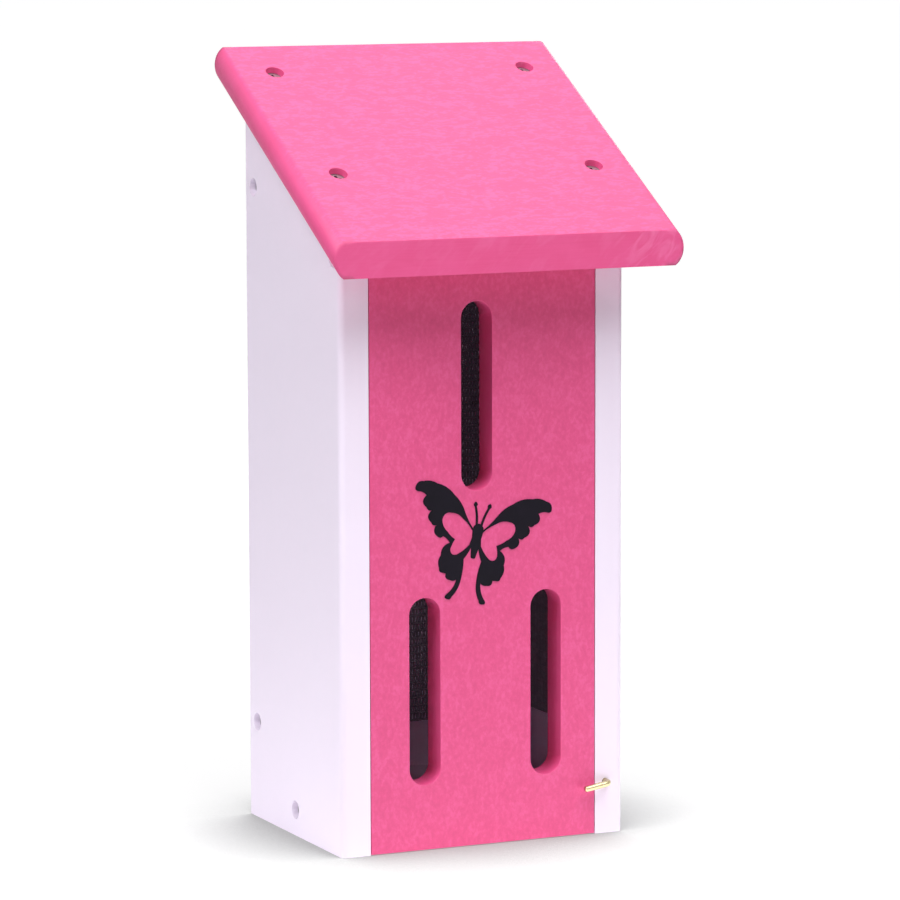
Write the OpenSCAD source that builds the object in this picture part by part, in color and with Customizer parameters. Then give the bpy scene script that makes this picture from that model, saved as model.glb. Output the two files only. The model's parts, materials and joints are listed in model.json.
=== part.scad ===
// Butterfly house with a hinged, slotted front door, a sloped roof and netting inside.
// The origin is on the ground, at the middle of the space that the house stands in.
// +X is to the right seen from the front, +Y is to the back and +Z is up.

/* [House] */
// Thickness of every board
board_t = 12.7; // [11:0.1:15]
// Width over the two side panels
house_w = 127; // [118:0.5:150]
// Depth of the side panels from front to back
house_d = 98.9; // [90:0.1:130]
// Height of the roof's underside above the ground at the front of the house
front_h = 254.1; // [248:0.1:290]
// Rounding of the side panels' outer front edges
front_round = 2.4; // [1:0.1:5]
// Rounding of the side panels' outer back edges
back_round = 0.5; // [0.3:0.1:5]
// Play left between boards that are screwed together
board_play = 0.05; // [0.02:0.01:0.2]

/* [Roof] */
// Slope of the roof, in degrees
roof_pitch = 29.7; // [22:0.1:34]
// Reach of the roof beyond each side panel
roof_side_lap = 13.5; // [8:0.1:20]
// How far each side edge of the roof bulges from its upper and lower corners
roof_edge_bulge = 3.8; // [2:0.1:6]
// Reach of the roof beyond the front of the house
roof_front_lap = 27.8; // [20:0.1:36]
// Distance of the front roof screws from the front of the house, along the ground
roof_screw_front = 14.8; // [12:0.1:22]
// Distance of the back roof screws from the back of the house, along the ground
roof_screw_back = 17.6; // [16:0.1:24]

/* [Back and floor] */
// Distance of the back panel's screws from the back of the house
back_screw_in = 8.2; // [5.5:0.1:8.5]
// Height of the lower back screws
back_screw_low = 41; // [30:0.5:60]
// Distance of the upper back screws below the roof's underside
back_screw_drop = 38.8; // [30:0.1:70]
// Height of the floor's underside above the ground
floor_lift = 4.5; // [2:0.1:9]

/* [Door] */
// Gap between the door and each side panel
door_side_gap = 0.3; // [0.2:0.05:1]
// Gap between the closed door and the roof's underside, measured down the front
door_top_gap = 0.9; // [0.7:0.1:2]
// Height of the door's lower edge above the ground
door_lift = 0.3; // [0.2:0.1:3]
// Distance of the pivot below the roof's underside, measured down the front
pivot_drop = 10; // [9.5:0.1:14]
// Width of a slot
slot_w = 13.8; // [8:0.1:16]
// Length of a slot over its round ends
slot_len = 77.4; // [50:0.1:84]
// Distance of the left slot's middle from the middle of the door
left_slot_x = 26.4; // [22:0.1:30]
// Distance of the right slot's middle from the middle of the door
right_slot_x = 28.1; // [22:0.1:30]
// Height of the two lower slots' middles
lower_slot_z = 65.8; // [60:0.1:70]
// Distance of the upper slot's middle to the left of the middle of the door
upper_slot_x = 3; // [0:0.1:8]
// Height of the upper slot's middle
upper_slot_z = 186; // [180:0.1:190]

/* [Butterfly emblem] */
// Span of the wings
wing_span = 62.6; // [50:0.1:66]
// Distance of the butterfly's middle to the left of the middle of the door
emblem_x = 3.4; // [0:0.1:5]
// Height of the butterfly's middle
emblem_z = 126.9; // [124:0.1:130]
// Tilt of the butterfly to the right, in degrees
emblem_tilt = 12; // [0:0.5:15]
// Thickness of the emblem's film
emblem_t = 0.3; // [0.2:0.1:0.6]

/* [Netting] */
// Thickness of the netting
net_t = 1; // [0.6:0.1:2]
// Width of a strand
net_strand = 1.8; // [1:0.1:3]
// Height of the back netting's lower edge
back_net_low = 36.5; // [30:0.5:50]
// Distance of the back netting's upper edge below the roof's underside
back_net_drop = 10.7; // [6:0.1:60]
// Gaps across the back netting
back_net_cols = 8; // [4:1:8]
// Gaps up the back netting
back_net_rows = 16; // [8:1:16]
// Height of the side netting's lower edge
side_net_low = 43.5; // [30:0.5:60]
// Distance of the side netting's upper edge below the roof's underside
side_net_drop = 16; // [6:0.1:60]
// Distance of the side netting's front edge from the front of the house
side_net_in = 21; // [20:0.5:30]
// Gaps across each side netting
side_net_cols = 6; // [3:1:6]
// Gaps up each side netting
side_net_rows = 14; // [7:1:14]
// Play between the nettings at the corners
net_play = 0.3; // [0.1:0.1:1]
// Width of a staple's wire
staple_w = 1.2; // [0.8:0.1:1.6]
// Thickness of a staple's wire
staple_t = 0.7; // [0.5:0.1:1]
// Length of a staple's legs in the board
staple_leg = 7; // [4:0.5:9]

/* [Screws] */
// Diameter of a screw's head
head_d = 7.5; // [7:0.1:9]
// Height of a screw's countersunk head
head_h = 3; // [2.4:0.1:3.6]
// Height of the rim of a screw's head
head_rim = 0.5; // [0.3:0.1:0.8]
// Diameter of a screw's smooth shank and of its thread's crest
shank_d = 4.2; // [3.4:0.1:4.6]
// Depth of the thread
thread_depth = 0.6; // [0.3:0.1:0.8]
// Pitch of the thread
thread_pitch = 2; // [1.4:0.1:2.6]
// Length of a screw's pointed tip
tip_len = 4; // [3:0.1:5]
// Length of the screws in the side panels, head included
side_screw_len = 32; // [28:0.5:36]
// Length of the roof screws, head included
roof_screw_len = 25; // [23:0.5:26]
// Depth at which the heads lie below the boards' surface
head_sink = 2.8; // [2:0.1:4]
// Radial play of a head in its recess and of a shank in its hole
screw_play = 0.08; // [0.03:0.01:0.1]
// Play round the head of a screw that the door turns on
pivot_head_play = 0.3; // [0.2:0.05:0.5]
// Width of the arms of the cross recess in a head
drive_w = 1.2; // [0.8:0.1:1.6]
// Length of the arms of the cross recess in a head
drive_len = 4.4; // [3:0.1:5]
// Depth of the cross recess in a head
drive_depth = 1.6; // [1:0.1:2]

/* [Latch hook] */
// Diameter of the hook's wire
hook_wire = 2.6; // [2:0.1:3]
// Distance of the hook's shank from the inner face of the right panel
hook_in = 4.7; // [3.5:0.1:8]
// Height of the hook's shank
hook_z = 21.8; // [15:0.1:30]
// Distance of the arm's middle in front of the house
hook_stand = 4.2; // [3.5:0.1:6]
// Reach of the arm from the shank's axis to the tip
hook_reach = 11.6; // [10:0.1:13]
// Droop of the arm below level at rest, in degrees
hook_droop = 9; // [0:0.5:15]
// Radius of the bend, at the middle of the wire
hook_bend = 2.2; // [1.6:0.1:3]
// Length of the shank inside the panel
hook_depth = 16; // [10:0.5:22]
// Radial play of the shank in its hole
hook_play = 0.06; // [0.03:0.01:0.1]

/* [Hidden] */

$fn = 64;
// Overshoot of a cut beyond the face that it opens
cut = 1;
left = -1;
right = 1;

pink = "#F0659C";
lavender = "#EDE6F4";
black = "#26222A";
steel = "#B9BCC2";
brass = "#D9BF78";

front_y = (roof_front_lap - house_d) / 2;
back_y = (roof_front_lap + house_d) / 2;
roof_front_y = -(roof_front_lap + house_d) / 2;
inner_w = house_w - 2 * board_t;
side_mid_x = (house_w - board_t) / 2;
back_wall_y = back_y - board_t;
door_back_y = front_y + board_t;

roof_w = house_w + 2 * roof_side_lap;
roof_rise = tan(roof_pitch);
roof_top_gain = board_t / cos(roof_pitch);
// Height of the roof's underside at a given distance behind the front
function underside(d) = front_h + d * roof_rise;

high_screw_z = underside(house_d - back_screw_in) - back_screw_drop;

floor_mid_z = floor_lift + board_t / 2;
floor_mid_y = (door_back_y + back_wall_y) / 2;
floor_front_y = door_back_y + 2 * door_side_gap;

door_w = inner_w - 2 * door_side_gap;
door_top = front_h - door_top_gap;
pivot_z = front_h - pivot_drop;
pivot_y = front_y + board_t / 2;

head_r = head_d / 2;
shank_r = shank_d / 2;
root_r = shank_r - thread_depth;
// The smooth part ends inside the second board
smooth_len = board_t - head_sink + thread_pitch;
// Start and end of the thread's groove, as shares of its pitch
groove_start = 0.35;
groove_end = 0.65;

hook_x = inner_w / 2 + hook_in;
hook_r = hook_wire / 2;

// Points of a quadratic curve from a to b that bows by k to the left of its travel
curve_steps = 7;
function bow(a, b, k) = let (
        v = b - a,
        side = [-v[1], v[0]] / norm(v),
        peak = (a + b) / 2 + 2 * k * side)
    [for (i = [0 : curve_steps - 1]) let (t = i / curve_steps)
        (1 - t) * (1 - t) * a + 2 * t * (1 - t) * peak + t * t * b];

// The curve through knots, where each knot is a place and the bow of the stretch after it
function through(knots) = [for (i = [0 : len(knots) - 2]) let (
        here = knots[i],
        next = knots[i + 1])
    each bow([here[0], here[1]], [next[0], next[1]], here[2])];

// Span of the wings at which the knots below are drawn
knot_span = 200;
// The butterfly's right half, from the head down to the tail
half_knots = [[0, 21.5, 0.2], [2.2, 21, 1], [8.4, 43.6, 1.2], [8.8, 48.2, 1.4], [12.2, 47.4, 1.2],
    [11.2, 43, -1], [5, 19, 1.2], [7, 13.6, -1], [25, 36.5, 1.5], [43, 53.6, 2.6], [70, 64.5, 2],
    [90, 64.5, 2.8], [99.6, 56, 2], [95, 50.5, -1.4], [82, 47, 5], [79, 31.5, 2], [70.5, 29, 5],
    [68, 13, 2], [60, 11, 4], [56, -3.5, 1.8], [48, -2, -1], [36.5, -9, 4], [46, -27, 2.4],
    [45, -44, 2], [39, -49, 0], [34, -49.5, 3], [27, -57, 1.6], [17.5, -54.5, -2.4],
    [28.5, -77, 2.2], [26, -82, 2], [20, -78, 2], [11.5, -55, 1], [13, -27, 0.6],
    [5.4, -10.5, 0], [3.4, -22, 1.2], [0, -24.5, 0]];
// The window in the right wing
window_knots = [[7.6, 11, 1], [24, 24.5, 2], [42, 30, 4], [53.5, 19, 2], [43, 5, 0.8],
    [30.5, -3.4, 0.6], [34.5, -17, 3.4], [24, -23, 1], [8.4, -7.6, 0], [6.6, 2, 0], [7.6, 11, 0]];
emblem_scale = wing_span / knot_span;

module corner_waste(r) {
    // What a rounding takes off a corner at the origin of a board that lies at -X and -Y
    translate([-r, -r]) difference() {
        square(r + cut);
        circle(r = r);
    }
}

module rounded_plan() {
    // Plan of a right side panel, with its outer edges rounded
    difference() {
        translate([house_w / 2 - board_t, front_y]) square([board_t, house_d]);
        translate([house_w / 2, back_y]) corner_waste(back_round);
        translate([house_w / 2, front_y]) mirror([0, 1]) corner_waste(front_round);
    }
}

module above_underside() {
    // Everything above the roof's underside
    size = 4 * (house_w + house_d);
    translate([-size / 2, front_y, front_h]) rotate([roof_pitch, 0, 0])
        translate([0, -size / 2, 0]) cube([size, size, size]);
}

module stadium(w, l) {
    // A slot's outline, upright and centred
    square([w, l - w], center = true);
    for (s = [-1, 1]) translate([0, s * (l - w) / 2]) circle(d = w);
}

// A screw along Z with the top of its head at z = 0
module screw(length) {
    thread_top = -smooth_len;
    thread_bottom = -(length - tip_len);
    turns = floor((thread_top - thread_bottom) / thread_pitch);
    profile = concat(
        [[0, 0], [head_r, 0], [head_r, -head_rim], [shank_r, -head_h], [shank_r, thread_top]],
        [for (i = [0 : turns - 1]) each [
            [root_r, thread_top - (i + groove_start) * thread_pitch],
            [root_r, thread_top - (i + groove_end) * thread_pitch],
            [shank_r, thread_top - (i + 1) * thread_pitch]]],
        [[root_r, thread_bottom - thread_pitch / 2], [0, -length]]);
    color(steel) difference() {
        rotate_extrude() polygon(profile);
        for (a = [0, 90]) rotate([0, 0, a])
            translate([-drive_len / 2, -drive_w / 2, -drive_depth])
                cube([drive_len, drive_w, drive_depth + cut]);
    }
}

// The room that a screw needs, from the tip to above the board's surface
module screw_hole(length, head_play = screw_play) {
    hole_r = shank_r + screw_play;
    recess_r = head_r + head_play;
    rotate_extrude() polygon([
        [0, head_sink + cut], [recess_r, head_sink + cut], [recess_r, -head_rim - head_play],
        [hole_r, -head_h - head_play], [hole_r, -length - screw_play],
        [0, -length - screw_play]]);
}

// Places of the screws: side is left or right, and +Z of what is placed points out
module at_roof(side, d) {
    translate([side * side_mid_x, front_y + d, underside(d) + roof_top_gain])
        rotate([roof_pitch, 0, 0]) translate([0, 0, -head_sink]) children();
}

module at_side(side, y, z) {
    translate([side * (house_w / 2 - head_sink), y, z]) rotate([0, side * 90, 0]) children();
}

module at_front_roof(side) { at_roof(side, roof_screw_front) children(); }
module at_back_roof(side) { at_roof(side, house_d - roof_screw_back) children(); }
module at_low_back(side) { at_side(side, back_y - back_screw_in, back_screw_low) children(); }
module at_high_back(side) { at_side(side, back_y - back_screw_in, high_screw_z) children(); }
module at_floor(side) { at_side(side, floor_mid_y, floor_mid_z) children(); }
module at_pivot(side) { at_side(side, pivot_y, pivot_z) children(); }

module roof_screw_holes() {
    for (side = [left, right]) {
        at_front_roof(side) screw_hole(roof_screw_len);
        at_back_roof(side) screw_hole(roof_screw_len);
    }
}

module back_screw_holes() {
    for (side = [left, right]) {
        at_low_back(side) screw_hole(side_screw_len);
        at_high_back(side) screw_hole(side_screw_len);
    }
}

module floor_screw_holes() {
    for (side = [left, right]) at_floor(side) screw_hole(side_screw_len);
}

module pivot_holes() {
    for (side = [left, right]) at_pivot(side) screw_hole(side_screw_len, pivot_head_play);
}

module hook_hole() {
    translate([hook_x, front_y + hook_depth + hook_play, hook_z])
        rotate([90, 0, 0]) cylinder(r = hook_r + hook_play, h = hook_depth + hook_play + cut);
}

module roof_section() {
    // Section across the roof board, whose side edges bulge in an arc
    bulge_r = (board_t * board_t / 4 + roof_edge_bulge * roof_edge_bulge) / (2 * roof_edge_bulge);
    square([roof_w - 2 * roof_edge_bulge, board_t], center = true);
    for (side = [left, right]) intersection() {
        translate([side * (roof_w / 2 - bulge_r), 0]) circle(r = bulge_r);
        square([roof_w, board_t], center = true);
    }
}

module roof_board() {
    reach = (house_d + 2 * board_t) / cos(roof_pitch);
    color(pink) difference() {
        intersection() {
            translate([0, front_y, front_h + board_play]) rotate([roof_pitch, 0, 0])
                translate([0, reach, board_t / 2]) rotate([90, 0, 0])
                    linear_extrude(2 * reach) roof_section();
            translate([-roof_w, roof_front_y, 0])
                cube([2 * roof_w, roof_front_lap + house_d, 2 * underside(house_d)]);
        }
        roof_screw_holes();
    }
}

module side_panel(side) {
    color(lavender) difference() {
        mirror([side == left ? 1 : 0, 0, 0])
            linear_extrude(underside(house_d) + cut) rounded_plan();
        above_underside();
        roof_screw_holes();
        back_screw_holes();
        floor_screw_holes();
        pivot_holes();
        hook_hole();
    }
}

module left_side_panel() { side_panel(left); }
module right_side_panel() { side_panel(right); }

module back_panel() {
    w = inner_w - 2 * board_play;
    color(lavender) difference() {
        translate([-w / 2, back_wall_y, 0]) cube([w, board_t, underside(house_d) + cut]);
        above_underside();
        back_screw_holes();
    }
}

module floor_board() {
    w = inner_w - 2 * board_play;
    color(lavender) difference() {
        translate([-w / 2, floor_front_y, floor_lift])
            cube([w, back_wall_y - board_play - floor_front_y, board_t]);
        floor_screw_holes();
    }
}

module door_slot(x, z) {
    translate([x, door_back_y + cut, z]) rotate([90, 0, 0])
        linear_extrude(board_t + 2 * cut) stadium(slot_w, slot_len);
}

module front_door() {
    color(pink) difference() {
        translate([-door_w / 2, front_y, door_lift]) cube([door_w, board_t, door_top - door_lift]);
        door_slot(-left_slot_x, lower_slot_z);
        door_slot(right_slot_x, lower_slot_z);
        door_slot(-upper_slot_x, upper_slot_z);
        pivot_holes();
    }
}

module butterfly() {
    half = through(half_knots);
    other_half = [for (i = [len(half) - 1 : -1 : 1]) [-half[i][0], half[i][1]]];
    tail_end = [0, half_knots[len(half_knots) - 1][1]];
    difference() {
        polygon(concat(half, [tail_end], other_half));
        polygon(through(window_knots));
        mirror([1, 0]) polygon(through(window_knots));
    }
}

module butterfly_emblem() {
    color(black) translate([-emblem_x, front_y, emblem_z]) rotate([90, 0, 0])
        linear_extrude(emblem_t) rotate(-emblem_tilt) scale(emblem_scale) butterfly();
}

// A flat net in the XY plane with its lower left corner at the origin
module net(w, h, cols, rows) {
    step_x = (w - net_strand) / cols;
    step_y = (h - net_strand) / rows;
    linear_extrude(net_t) difference() {
        square([w, h]);
        for (i = [0 : cols - 1], j = [0 : rows - 1])
            translate([net_strand + i * step_x, net_strand + j * step_y])
                square([step_x - net_strand, step_y - net_strand]);
    }
}

// Staples over the upright strands next to a net's edges, at the rows given
module net_staples(w, h, cols, rows, at_rows) {
    step_x = (w - net_strand) / cols;
    step_y = (h - net_strand) / rows;
    for (i = [1, cols - 1], j = at_rows)
        translate([net_strand / 2 + i * step_x, net_strand / 2 + (j + 0.5) * step_y, 0])
            staple(net_strand + 2 * staple_w);
}

// A staple whose crown lies on a net, with its legs through the net into the board
module staple(span) {
    translate([-span / 2, -staple_w / 2, net_t]) cube([span, staple_w, staple_t]);
    for (s = [-1, 1])
        translate([s * (span - staple_t) / 2 - staple_t / 2, -staple_w / 2, -staple_leg])
            cube([staple_t, staple_w, staple_leg + net_t + staple_t]);
}

back_net_w = inner_w - 2 * (net_t + net_play);
back_net_h = underside(house_d - board_t - net_t) - back_net_drop - back_net_low;
side_net_w = house_d - board_t - side_net_in - net_play;
side_net_h = underside(side_net_in) - side_net_drop - side_net_low;
// The upper row stays below the upper back screws
back_staple_rows = [1, floor(back_net_rows / 2), back_net_rows - 3];
side_staple_rows = [1, floor(side_net_rows / 2), side_net_rows - 2];

// The back net's plane faces the front
module on_back_wall() {
    translate([-back_net_w / 2, back_wall_y, back_net_low]) rotate([90, 0, 0]) children();
}

// A side net's plane faces the inside: its width runs to the back
module on_side_wall(side) {
    mirror([side == right ? 1 : 0, 0, 0])
        translate([-inner_w / 2, back_wall_y - net_play, side_net_low])
            rotate([90, 0, 90]) mirror([1, 0, 0]) children();
}

module back_netting() {
    color(black) on_back_wall() net(back_net_w, back_net_h, back_net_cols, back_net_rows);
}

module side_netting(side) {
    color(black) on_side_wall(side) net(side_net_w, side_net_h, side_net_cols, side_net_rows);
}

module left_netting() { side_netting(left); }
module right_netting() { side_netting(right); }

module back_netting_staples() {
    color(steel) on_back_wall()
        net_staples(back_net_w, back_net_h, back_net_cols, back_net_rows, back_staple_rows);
}

module side_netting_staples(side) {
    color(steel) on_side_wall(side)
        net_staples(side_net_w, side_net_h, side_net_cols, side_net_rows, side_staple_rows);
}

module left_netting_staples() { side_netting_staples(left); }
module right_netting_staples() { side_netting_staples(right); }

module front_left_roof_screw() { at_front_roof(left) screw(roof_screw_len); }
module front_right_roof_screw() { at_front_roof(right) screw(roof_screw_len); }
module back_left_roof_screw() { at_back_roof(left) screw(roof_screw_len); }
module back_right_roof_screw() { at_back_roof(right) screw(roof_screw_len); }
module upper_left_back_screw() { at_high_back(left) screw(side_screw_len); }
module upper_right_back_screw() { at_high_back(right) screw(side_screw_len); }
module lower_left_back_screw() { at_low_back(left) screw(side_screw_len); }
module lower_right_back_screw() { at_low_back(right) screw(side_screw_len); }
module left_floor_screw() { at_floor(left) screw(side_screw_len); }
module right_floor_screw() { at_floor(right) screw(side_screw_len); }
module left_pivot_screw() { at_pivot(left) screw(side_screw_len); }
module right_pivot_screw() { at_pivot(right) screw(side_screw_len); }

module latch_hook() {
    // The shank runs along Y into the panel, and the arm turns to the left in front of it
    tip_round = hook_r / 3;
    color(brass) translate([hook_x, front_y, hook_z]) rotate([0, -hook_droop, 0]) {
        translate([0, hook_depth, 0]) rotate([90, 0, 0]) {
            cylinder(r = hook_r, h = hook_depth + hook_stand - hook_bend);
        }
        translate([-hook_bend, hook_bend - hook_stand, 0]) rotate([0, 0, -90])
            rotate_extrude(angle = 90) translate([hook_bend, 0]) circle(r = hook_r);
        translate([-hook_bend, -hook_stand, 0]) rotate([0, -90, 0]) rotate_extrude()
            polygon([[0, 0], [hook_r, 0], [hook_r, hook_reach - hook_bend - tip_round],
                [hook_r - tip_round, hook_reach - hook_bend], [0, hook_reach - hook_bend]]);
    }
}

roof_board();
left_side_panel();
right_side_panel();
back_panel();
floor_board();
front_door();
butterfly_emblem();
back_netting();
left_netting();
right_netting();
back_netting_staples();
left_netting_staples();
right_netting_staples();
front_left_roof_screw();
front_right_roof_screw();
back_left_roof_screw();
back_right_roof_screw();
upper_left_back_screw();
upper_right_back_screw();
lower_left_back_screw();
lower_right_back_screw();
left_floor_screw();
right_floor_screw();
left_pivot_screw();
right_pivot_screw();
latch_hook();
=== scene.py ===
import json
import math

import bpy
from mathutils import Matrix, Vector


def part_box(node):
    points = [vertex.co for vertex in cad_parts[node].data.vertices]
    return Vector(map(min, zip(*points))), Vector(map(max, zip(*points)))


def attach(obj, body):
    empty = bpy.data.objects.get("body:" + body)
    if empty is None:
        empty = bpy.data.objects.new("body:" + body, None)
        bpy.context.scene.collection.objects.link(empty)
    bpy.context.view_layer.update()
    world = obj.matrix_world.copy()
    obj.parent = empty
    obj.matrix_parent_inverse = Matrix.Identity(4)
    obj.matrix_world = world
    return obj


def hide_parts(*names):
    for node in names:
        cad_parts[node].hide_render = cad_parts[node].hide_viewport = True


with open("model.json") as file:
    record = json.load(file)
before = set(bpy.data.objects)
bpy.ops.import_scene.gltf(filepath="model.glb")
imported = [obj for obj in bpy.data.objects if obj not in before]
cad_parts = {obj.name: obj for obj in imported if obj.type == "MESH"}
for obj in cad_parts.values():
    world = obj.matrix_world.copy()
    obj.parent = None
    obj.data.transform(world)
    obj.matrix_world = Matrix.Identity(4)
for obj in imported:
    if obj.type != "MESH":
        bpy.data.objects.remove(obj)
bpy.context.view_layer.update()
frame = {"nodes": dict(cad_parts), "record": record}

MM = 0.001
ALONG_X, ALONG_Y, ALONG_Z = (1, 0, 0), (0, 1, 0), (0, 0, 1)

# Camera
LENS_MM = 180.46
SENSOR_MM = 36.0
CAMERA_PLACE = Vector((-0.7660, -1.68756, 0.39637))
CAMERA_AZIMUTH = math.radians(24.4475)
CAMERA_DOWN = math.radians(7.281)
CAMERA_ROLL = math.radians(-0.1557)

# Roof. Beyond SOFT_FROM from the middle, the arrises at its sides grow softer over SOFT_RAMP
ROOF_PITCH = math.radians(29.7)
ROOF_WIDTH = 153.98 * MM
ARRIS_ROUND = 2.5 * MM
SOFT_RAMP = 2 * MM
SOFT_FROM = ROOF_WIDTH / 2 - 7 * MM - SOFT_RAMP

# Roundings of the boards' edges
EDGE_ROUND = 0.2 * MM
FINE_EDGE_ROUND = 0.1 * MM
SHARP_EDGE = math.radians(35)
FLAT_FACES = math.radians(0.5)
SAME_PLACE = 0.001 * MM

# Netting: upright strands, level rungs, and a slight wave of the whole sheet
STRAND_SIDES = 6
STRAND_PITCH = 1.5 * MM
STRAND_WIDTH = 0.98 * MM
STRAND_DEPTH = 0.3
RUNG_PITCH = 3.2 * MM
RUNG_WIDTH = 1.1 * MM
RUNG_DEPTH = 0.26
NET_STEP = 8 * MM
NET_WAVE = 0.12

# How far from a corner painted shade darkens metal
RECESS_SHADE_REACH = 2 * MM

# Light. Each lamp has its azimuth and elevation in degrees, width and height in metres, and watts
LAMP_TARGET = Vector((0, 0, 0.15))
LAMP_DISTANCE = 1.5
LAMPS = {
    "side": (-75, 50, 0.6, 0.6, 12.9),
    "top": (-12, 70, 0.6, 0.6, 8.1),
    "front": (8, 49.7, 0.6, 0.6, 8.3),
    "fill": (35, 55, 1.2, 0.6, 5.4),
    "back": (140, 57, 0.8, 0.8, 2.6),
    "rear": (150, 20, 0.8, 0.8, 6.0)}
WORLD_LEVEL = 0.02

# Floor, with a painted contact shadow and a painted glow near the house
FLOOR_REACH = 30.0
FLOOR_DROP = 0.05 * MM
FLOOR_PAINTED_GLOW = 0.40
PAINTED_SHADOW_REACH = 85 * MM

# Colours, linear
PINKS = ((0.70, 0.072, 0.226), (0.742, 0.08, 0.245), (0.785, 0.102, 0.296))
WHITES = ((0.896, 0.806, 0.955), (0.906, 0.812, 0.962), (0.914, 0.817, 0.967))
BLACK = (0.0048, 0.0032, 0.0078)
NET_BLACK = (0.085, 0.066, 0.084)
NET_PAINTED_GLOW = (0.011, 0.007, 0.0105)
STEEL = (0.62, 0.62, 0.64)
ZINC = (0.54, 0.53, 0.555)
BRASS = (0.64, 0.545, 0.32)

record = frame["record"]
nodes = frame["nodes"]


class Shader:
    """The node tree of one material."""

    def __init__(self, name):
        self.material = bpy.data.materials.new(name)
        self.material.use_nodes = True
        self.tree = self.material.node_tree
        self.tree.nodes.clear()

    @classmethod
    def of_tree(cls, tree):
        """A shader for a node tree that isn't a material's."""
        shader = cls.__new__(cls)
        shader.tree = tree
        tree.nodes.clear()
        return shader

    def add(self, kind, output=0, settings=None, **inputs):
        """Adds a node, and returns its output. Inputs go by their identifiers."""
        node = self.tree.nodes.new(kind)
        for name, value in (settings or {}).items():
            setattr(node, name, value)
        for name, value in inputs.items():
            socket = next(s for s in node.inputs if s.identifier == name.replace("__", " "))
            if isinstance(value, bpy.types.NodeSocket):
                self.tree.links.new(value, socket)
            else:
                socket.default_value = value
        if isinstance(output, str):
            return next(s for s in node.outputs if s.identifier == output)
        return node.outputs[output] if node.outputs else node

    def noise(self, vector, size, detail=2.0, roughness=0.5, distortion=0.0):
        """Noise whose blotches are about size across, in metres."""
        return self.add("ShaderNodeTexNoise", Vector=vector, Scale=1 / size, Detail=detail,
                        Roughness=roughness, Distortion=distortion)

    def math(self, operation, a, b=0.0):
        """A sum, product or the like of two values."""
        return self.add("ShaderNodeMath", settings={"operation": operation}, Value=a, Value_001=b)

    def vector(self, operation, a, b=(0, 0, 0), output="Vector"):
        """A vector sum, product or the like."""
        return self.add("ShaderNodeVectorMath", output, {"operation": operation},
                        Vector=a, Vector_001=b)

    def spread(self, value, low, high, to_low=0.0, to_high=1.0):
        """Maps low to high onto to_low to to_high, and holds the ends."""
        return self.add("ShaderNodeMapRange", Value=value, **{
            "From__Min": low, "From__Max": high, "To__Min": to_low, "To__Max": to_high})

    def mix(self, factor, a, b, blend="MIX"):
        return self.add("ShaderNodeMix", "Result_Color", {"data_type": "RGBA", "blend_type": blend},
                        Factor_Float=factor, A_Color=a, B_Color=b)

    def drawn_out(self, vector, along, amount):
        """A place moved along an axis by an amount, so that a pattern stretches or shrinks."""
        return self.vector("ADD", vector, self.add(
            "ShaderNodeVectorMath", settings={"operation": "SCALE"}, Vector=along, Scale=amount))

    def seen(self, *kinds):
        """1 for light rays of the kinds named, and 0 for the rest."""
        rays = self.tree.nodes.new("ShaderNodeLightPath")
        found = rays.outputs[f"Is {kinds[0]} Ray"]
        for kind in kinds[1:]:
            found = self.math("MAXIMUM", found, rays.outputs[f"Is {kind} Ray"])
        return found

    def bump(self, height, depth, strength=1.0, normal=None):
        inputs = {"Height": height, "Distance": depth, "Strength": strength}
        if normal:
            inputs["Normal"] = normal
        return self.add("ShaderNodeBump", **inputs)

    def finish(self, shader):
        output = self.tree.nodes.new("ShaderNodeOutputMaterial")
        self.tree.links.new(shader, output.inputs["Surface"])
        return self.material


def tone(colour, gain=1.0, shift=(0, 0, 0)):
    """A colour times gain plus shift, as RGBA."""
    return tuple(min(1.0, c * gain + d) for c, d in zip(colour, shift)) + (1.0,)


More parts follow.
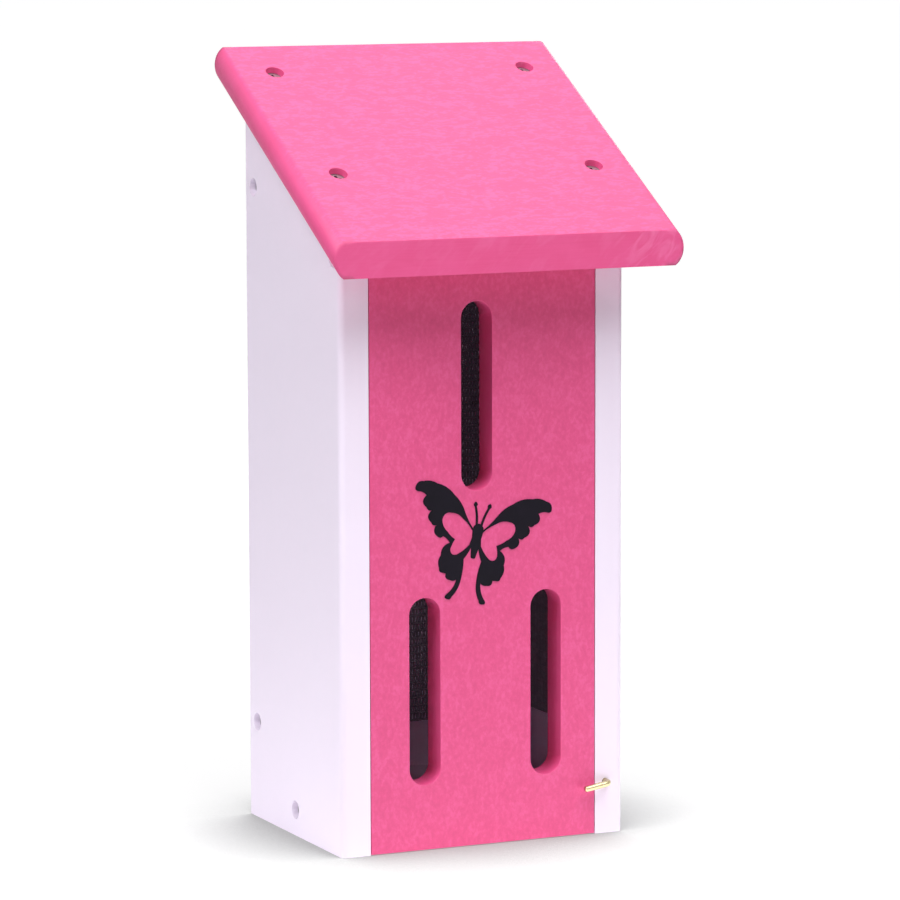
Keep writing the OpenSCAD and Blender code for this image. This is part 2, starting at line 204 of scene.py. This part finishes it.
def board(name, tones, skin_axis, stretch, mottle, relief, softness, marbling=0.0,
          soft_sides=False):
    """Pressed plastic board: mottled skin on both faces, and cut edges with fine cutter lines.

    Tones are the colours from deep to pale. Stretch thins the mottling's blotches per axis,
    softness is how gently they fade, and marbling how strongly pale wisps show on the cut edges.
    Mottle is the size of its flecks and relief their height. Soft sides round the outer arrises.
    """
    deep, colour, pale = (tone(c) for c in tones)
    s = Shader(name)
    place = s.add("ShaderNodeTexCoord", "Object")
    facing = s.add("ShaderNodeTexCoord", "Normal")
    across = s.math("ABSOLUTE", s.vector("DOT_PRODUCT", facing, skin_axis, "Value"))
    cut = s.spread(across, 0.97, 0.6)

    drawn = s.vector("MULTIPLY", place, stretch)
    flecks = s.noise(drawn, mottle, 3.0, 0.6, 0.3)
    blotches = s.noise(drawn, 3 * mottle, 3.0, 0.55, 0.6)
    mottling = s.math("ADD", s.math("MULTIPLY", flecks, 0.6), s.math("MULTIPLY", blotches, 0.4))
    skin = s.mix(s.spread(mottling, 0.5 - softness, 0.5, 1.0, 0.0), colour, deep)
    skin = s.mix(s.spread(mottling, 0.5, 0.5 + softness), skin, pale)
    specks = s.noise(place, 0.35 * mottle, 2.0, 0.6)
    skin = s.mix(s.spread(specks, 0.60, 0.72, 0.0, 0.35), skin, pale)
    skin = s.mix(s.spread(specks, 0.40, 0.28, 0.0, 0.35), skin, deep)

    depth = s.vector("DOT_PRODUCT", place, skin_axis, "Value")
    lined = s.drawn_out(place, skin_axis, s.math("MULTIPLY", depth, 30.0))
    lines = s.noise(lined, 20 * MM, 4.0, 0.6)
    slant = s.vector("DOT_PRODUCT", place, (0.7, 0, -0.7), "Value")
    wisps = s.noise(s.drawn_out(place, (1.6, 0, -1.6), slant), 15 * MM, 3.0, 0.5, 1.2)
    right = s.vector("DOT_PRODUCT", place, ALONG_X, "Value")
    marbling = s.spread(right, 44 * MM, 58 * MM, 0.25 * marbling, marbling)
    clouds = s.noise(place, 16 * MM, 3.0, 0.5, 0.5)
    sideways = s.math("ABSOLUTE", s.vector("DOT_PRODUCT", facing, ALONG_X, "Value"))
    streaked = s.math("MULTIPLY", s.spread(sideways, 0.5, 0.2),
                      s.spread(wisps, 0.5, 0.75, 0.0, marbling))
    edge = s.mix(s.spread(lines, 0.3, 0.7), s.mix(0.6, deep, colour), s.mix(0.2, colour, pale))
    edge = s.mix(s.spread(clouds, 0.4, 0.7, 0.0, 0.6), edge, pale)
    edge = s.mix(streaked, edge, tone(tones[2], 1.1, (0, 0.1, 0.12)))

    base = None
    if soft_sides:
        outward = s.math("ABSOLUTE", s.vector("DOT_PRODUCT", place, ALONG_X, "Value"))
        soft = s.add("ShaderNodeBevel", settings={"samples": 6}, Radius=ARRIS_ROUND)
        plain = s.add("ShaderNodeNewGeometry", "Normal")
        base = s.add("ShaderNodeMix", "Result_Vector", {"data_type": "VECTOR"},
                     A_Vector=plain, B_Vector=soft,
                     Factor_Float=s.spread(outward, SOFT_FROM, SOFT_FROM + SOFT_RAMP))
    skin_bump = s.bump(mottling, relief, normal=base)
    skin_bump = s.bump(specks, 0.02 * MM, 0.5, skin_bump)
    cut_bump = s.bump(lines, 0.05 * MM, 0.5, base)
    normal = s.add("ShaderNodeMix", "Result_Vector", {"data_type": "VECTOR"},
                   Factor_Float=cut, A_Vector=skin_bump, B_Vector=cut_bump)
    rough = s.spread(flecks, 0.3, 0.7, 0.42, 0.52)
    return s.finish(s.add("ShaderNodeBsdfPrincipled", **{
        "Base__Color": s.mix(cut, skin, edge), "Roughness": rough, "Normal": normal}))


def film():
    """Black film with a faint grain and a soft gloss."""
    s = Shader("black_film")
    place = s.add("ShaderNodeTexCoord", "Object")
    grain = s.noise(place, 0.7 * MM, 3.0, 0.6)
    cloud = s.noise(place, 9 * MM, 3.0)
    colour = s.mix(s.spread(cloud, 0.3, 0.7), tone(BLACK, 0.85), tone(BLACK, 1.3))
    return s.finish(s.add("ShaderNodeBsdfPrincipled", **{
        "Base__Color": colour, "Roughness": s.spread(grain, 0.3, 0.7, 0.45, 0.6),
        "Specular__IOR__Level": 0.135, "Normal": s.bump(grain, 0.02 * MM, 0.5)}))


def netting_plastic():
    """Extruded black plastic, with drawing lines along its strands and a little dust.

    Its faint glow is painted light, which stands in for the daylight that the boards let through
    into the house.
    """
    s = Shader("netting_plastic")
    place = s.add("ShaderNodeTexCoord", "Object")
    drawn = s.noise(place, 0.5 * MM, 2.0)
    dust = s.noise(place, 6 * MM, 4.0, 0.65)
    colour = s.mix(s.spread(dust, 0.5, 0.8, 0.0, 0.5), tone(NET_BLACK), tone(NET_BLACK, 3.0))
    return s.finish(s.add("ShaderNodeBsdfPrincipled", **{
        "Base__Color": colour, "Roughness": s.spread(drawn, 0.3, 0.7, 0.5, 0.7),
        # Painted light: the netting glows faintly, though it is no lamp.
        "Emission__Color": tone(NET_PAINTED_GLOW), "Emission__Strength": 1.0,
        "Normal": s.bump(drawn, 0.03 * MM, 0.5)}))


def metal(name, colour, rough_low, rough_high, grain_size, dark=0.6):
    """Bright metal with fine drawing marks, faint tarnish, and painted shade in its recesses."""
    s = Shader(name)
    place = s.add("ShaderNodeTexCoord", "Object")
    grain = s.noise(place, grain_size, 4.0, 0.6)
    tarnish = s.noise(place, 2.2 * MM, 3.0, 0.6, 0.5)
    shade = s.mix(s.spread(tarnish, 0.5, 0.8, 0.0, 0.6), tone(colour), tone(colour, dark))
    # Painted shade: the colour darkens where the metal's recesses and corners block the sky.
    open_sky = s.add("ShaderNodeAmbientOcclusion", "AO", {"samples": 8}, Distance=RECESS_SHADE_REACH)
    shade = s.mix(s.spread(open_sky, 0.3, 0.85), tone(colour, 0.3 * dark), shade)
    return s.finish(s.add("ShaderNodeBsdfPrincipled", **{
        "Base__Color": shade, "Metallic": 1.0,
        "Roughness": s.spread(grain, 0.3, 0.7, rough_low, rough_high),
        "Normal": s.bump(grain, 0.01 * MM, 0.4)}))


def strand(points, half_width, half_depth, across, out, vertices, faces):
    """Adds a strand along points, flattened across the net, with its faces outwards."""
    sides = STRAND_SIDES
    turn = math.tau / sides
    if across.cross(out).dot(points[-1] - points[0]) < 0:
        turn = -turn
    first = len(vertices)
    for point in points:
        for k in range(sides):
            a = turn * k
            vertices.append(point + across * (half_width * math.cos(a))
                            + out * (half_depth * math.sin(a)))
    for i in range(len(points) - 1):
        for k in range(sides):
            a, b = first + i * sides + k, first + i * sides + (k + 1) % sides
            faces.append((a, b, b + sides, a + sides))
    last = first + (len(points) - 1) * sides
    faces.append(tuple(range(first, first + sides))[::-1])
    faces.append(tuple(range(last, last + sides)))


def netting(node, across, out, body, material):
    """Fine netting in a CAD netting's space. Out points from the wall to the inside."""
    low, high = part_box(node)
    up = Vector((0, 0, 1))
    thick = abs((high - low).dot(out))
    width = abs((high - low).dot(across))
    height = high.z - low.z
    corner = Vector((low.x if across.x + out.x > 0 else high.x,
                     low.y if across.y + out.y > 0 else high.y, low.z))
    middle = out * (thick / 2)

    def at(u, v):
        wave = NET_WAVE * thick * math.sin(u / (13 * MM)) * math.cos(v / (17 * MM) + u / (29 * MM))
        return corner + across * u + up * v + middle + out * wave

    vertices, faces = [], []
    columns = round((width - STRAND_WIDTH) / STRAND_PITCH)
    rows = round((height - RUNG_WIDTH) / RUNG_PITCH)
    steps_up, steps_across = round(height / NET_STEP), round(width / NET_STEP)
    for i in range(columns + 1):
        u = STRAND_WIDTH / 2 + (width - STRAND_WIDTH) * i / columns
        line = [at(u, height * k / steps_up) for k in range(steps_up + 1)]
        strand(line, STRAND_WIDTH / 2, STRAND_DEPTH * thick, across, out, vertices, faces)
    for j in range(rows + 1):
        v = RUNG_WIDTH / 2 + (height - RUNG_WIDTH) * j / rows
        line = [at(width * k / steps_across, v) for k in range(steps_across + 1)]
        strand(line, RUNG_WIDTH / 2, RUNG_DEPTH * thick, up, out, vertices, faces)

    mesh = bpy.data.meshes.new("fine_" + node)
    mesh.from_pydata(vertices, [], faces)
    mesh.polygons.foreach_set("use_smooth", [True] * len(mesh.polygons))
    mesh.materials.append(material)
    piece = bpy.data.objects.new("fine_" + node, mesh)
    bpy.context.scene.collection.objects.link(piece)
    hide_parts(node)
    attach(piece, body)


def soften_edges(node):
    """Breaks a board's sharp edges with a small rounding.

    It is finer on the white boards that stand, so that the latch's shank keeps its play. The back
    panel's also stays clamped, since a free one would leave its solid at the sloped top.
    """
    piece = nodes[node]
    weld = piece.modifiers.new("weld", "WELD")
    weld.merge_threshold = SAME_PLACE
    flat = piece.modifiers.new("flat_faces", "DECIMATE")
    flat.decimate_type = "DISSOLVE"
    flat.angle_limit = FLAT_FACES
    bevel = piece.modifiers.new("edges", "BEVEL")
    bevel.limit_method = "ANGLE"
    bevel.angle_limit = SHARP_EDGE
    bevel.width = FINE_EDGE_ROUND if node.endswith("_panel") else EDGE_ROUND
    bevel.segments = 2
    bevel.use_clamp_overlap = node == "back_panel"
    bevel.harden_normals = True


def dress():
    """Gives every CAD piece its finish, and returns the materials by the slots' names."""
    roof_out = (0, -math.sin(ROOF_PITCH), math.cos(ROOF_PITCH))
    down, level = (1, 1, 0.75), (0.45, 1, 1)
    boards = {
        "roof_board": board("pink_roof", PINKS, roof_out, level, 1.3 * MM, 0.08 * MM, 0.065, 0.65,
                            soft_sides=True),
        "front_door": board("pink_door", PINKS, ALONG_Y, down, 1.6 * MM, 0.03 * MM, 0.125, 0.3),
        "left_side_panel": board("white_side", WHITES, ALONG_X, down, 3 * MM, 0.02 * MM, 0.2),
        "back_panel": board("white_back", WHITES, ALONG_Y, down, 3 * MM, 0.02 * MM, 0.2),
        "floor_board": board("white_floor", WHITES, ALONG_Z, level, 3 * MM, 0.02 * MM, 0.2)}
    boards["right_side_panel"] = boards["left_side_panel"]
    by_slot = {
        "black_film": film(),
        "black_net": netting_plastic(),
        "staple_steel": metal("staple_steel", STEEL, 0.3, 0.45, 0.4 * MM),
        "screw_steel": metal("screw_steel", ZINC, 0.34, 0.46, 0.3 * MM, 0.45),
        "hook_brass": metal("hook_brass", BRASS, 0.16, 0.26, 0.3 * MM, 0.75)}
    for part in record["subparts"]:
        name = part["node"]
        slots = nodes[name].data.materials
        slots.clear()
        slots.append(boards.get(name) or by_slot[part["material_slot"]])
        if name in boards:
            soften_edges(name)
    return by_slot


def set_camera():
    """Puts the camera where the photograph was taken from."""
    data = bpy.data.cameras.new("camera")
    data.lens = LENS_MM
    data.sensor_width = SENSOR_MM
    camera = bpy.data.objects.new("camera", data)
    camera.matrix_world = (
        Matrix.Translation(CAMERA_PLACE)
        @ Matrix.Rotation(-CAMERA_AZIMUTH, 4, "Z")
        @ Matrix.Rotation(math.pi / 2 - CAMERA_DOWN, 4, "X")
        @ Matrix.Rotation(CAMERA_ROLL, 4, "Z"))
    bpy.context.scene.collection.objects.link(camera)
    bpy.context.scene.camera = camera


def softbox(name, azimuth, elevation, width, height, watts):
    """A soft lamp aimed at the house. Azimuth 0 is in front of it and 90 on its right."""
    data = bpy.data.lights.new(name, "AREA")
    data.shape = "RECTANGLE"
    data.size = width
    data.size_y = height
    data.energy = watts
    a, e = math.radians(azimuth), math.radians(elevation)
    away = Vector((math.sin(a) * math.cos(e), -math.cos(a) * math.cos(e), math.sin(e)))
    light = bpy.data.objects.new(name, data)
    light.location = LAMP_TARGET + away * LAMP_DISTANCE
    light.rotation_mode = "QUATERNION"
    light.rotation_quaternion = away.to_track_quat("Z", "Y")
    bpy.context.scene.collection.objects.link(light)


def light_world(strength):
    """A faint light from all round, which the camera and gloss see as white."""
    world = bpy.data.worlds.new("studio")
    bpy.context.scene.world = world
    world.use_nodes = True
    s = Shader.of_tree(world.node_tree)
    level = s.spread(s.seen("Camera", "Glossy", "Transmission"), 0, 1, strength, 1.0)
    background = s.add("ShaderNodeBackground", Strength=level)
    output = s.tree.nodes.new("ShaderNodeOutputWorld")
    s.tree.links.new(background, output.inputs["Surface"])


def lay_floor():
    """A wide white floor that keeps the house's shadow, darkened by a painted contact shadow at the
    house's foot, and a painted glow near the house that throws light up at its foot.
    """
    r = FLOOR_REACH
    mesh = bpy.data.meshes.new("floor")
    mesh.from_pydata([(-r, -r, 0), (r, -r, 0), (r, r, 0), (-r, r, 0)], [], [(0, 1, 2, 3)])
    floor = bpy.data.objects.new("floor", mesh)
    floor.location.z = -FLOOR_DROP
    bpy.context.scene.collection.objects.link(floor)
    s = Shader("floor")
    place = s.add("ShaderNodeTexCoord", "Object")
    paper = s.noise(place, 60 * MM, 3.0)
    camera = s.seen("Camera")
    bounced = s.mix(paper, (0.80, 0.80, 0.80, 1), (0.82, 0.82, 0.82, 1))
    seen = s.mix(paper, (0.235, 0.235, 0.235, 1), (0.245, 0.245, 0.245, 1))
    diffuse = s.add("ShaderNodeBsdfDiffuse", Color=s.mix(camera, bounced, seen))
    away = s.vector("LENGTH", place, output="Value")
    # Painted shadow: the floor that the camera sees darkens near the house's foot, where the house
    # blocks its sky.
    open_sky = s.add("ShaderNodeAmbientOcclusion", "AO", {"samples": 8}, Distance=PAINTED_SHADOW_REACH)
    painted_contact_shadow = s.spread(open_sky, 0.5, 0.9, 0.28, 1.0)
    white = s.math("MULTIPLY", s.spread(away, 0.25, 1.2, 0.8, 1.0), painted_contact_shadow)
    # Painted light: near the house the floor glows for all rays but the camera's, and lights the
    # house's foot.
    glow = s.spread(away, 0.2, 0.3, FLOOR_PAINTED_GLOW, 0.0)
    # Painted light: gloss sees the floor glow brighter close to the house.
    painted_shine = s.math("MULTIPLY", s.seen("Glossy", "Transmission"),
                   s.spread(away, 0.15, 0.5, 0.9, 0.3))
    glow = s.math("MAXIMUM", glow, painted_shine)
    level = s.spread(camera, 0, 1, glow, white)
    lift = s.add("ShaderNodeEmission", Strength=level)
    mesh.materials.append(s.finish(s.add("ShaderNodeAddShader", Shader=diffuse, Shader_001=lift)))


bpy.context.scene.view_settings.view_transform = "Standard"
set_camera()
by_slot = dress()
x, y = Vector(ALONG_X), Vector(ALONG_Y)
netting("back_netting", x, -y, "house", by_slot["black_net"])
netting("left_netting", y, x, "house", by_slot["black_net"])
netting("right_netting", y, -x, "house", by_slot["black_net"])
lay_floor()
light_world(WORLD_LEVEL)
for name, (azimuth, elevation, width, height, watts) in LAMPS.items():
    softbox(name, azimuth, elevation, width, height, watts)
